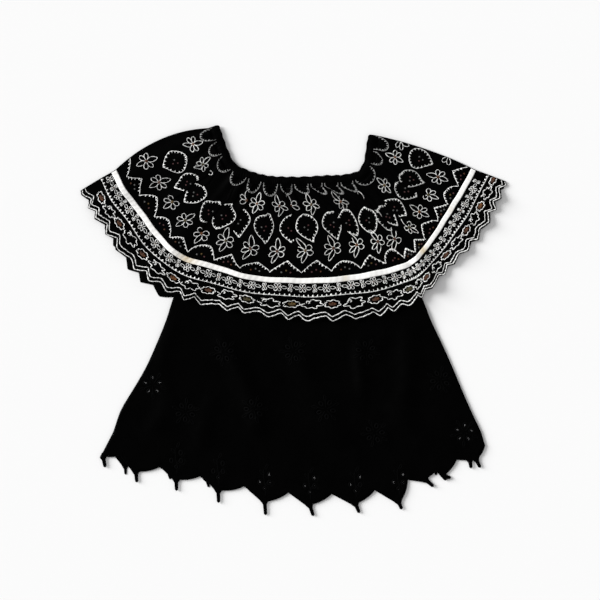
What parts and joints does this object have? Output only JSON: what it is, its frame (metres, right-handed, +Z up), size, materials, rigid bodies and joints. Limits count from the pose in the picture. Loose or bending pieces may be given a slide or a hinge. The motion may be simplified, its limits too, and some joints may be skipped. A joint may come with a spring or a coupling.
{
  "type": "off-shoulder top",
  "caption": "Black cotton off-shoulder top laid flat, with an elastic neck casing, a deep embroidered flounce, a ribbon tape and an eyelet body with a scalloped, tailed hem.",
  "frame": {"origin": "centre of the top's box at the surface it lies on", "axes": "+X to the right of the top as it lies, +Y from the hem to the neck, +Z up from the surface"},
  "size_m": [0.641, 0.5868, 0.0131],
  "materials": {
    "flounce_cotton": "matt black cotton poplin",
    "body_cotton": "matt black eyelet cotton",
    "casing_cotton": "matt black cotton gathered on elastic",
    "ribbon_tape": "off-white woven ribbon, soft sheen",
    "embroidery_white": "white embroidery thread, soft sheen",
    "embroidery_accent": "brown, rust and olive embroidery thread"
  },
  "bodies": {
    "root": {"flounce_front": "flounce_cotton", "flounce_back": "flounce_cotton", "tape_front": "ribbon_tape", "casing_front": "casing_cotton", "casing_back": "casing_cotton", "body_front": "body_cotton", "body_back": "body_cotton"}
  },
  "joints": []
}
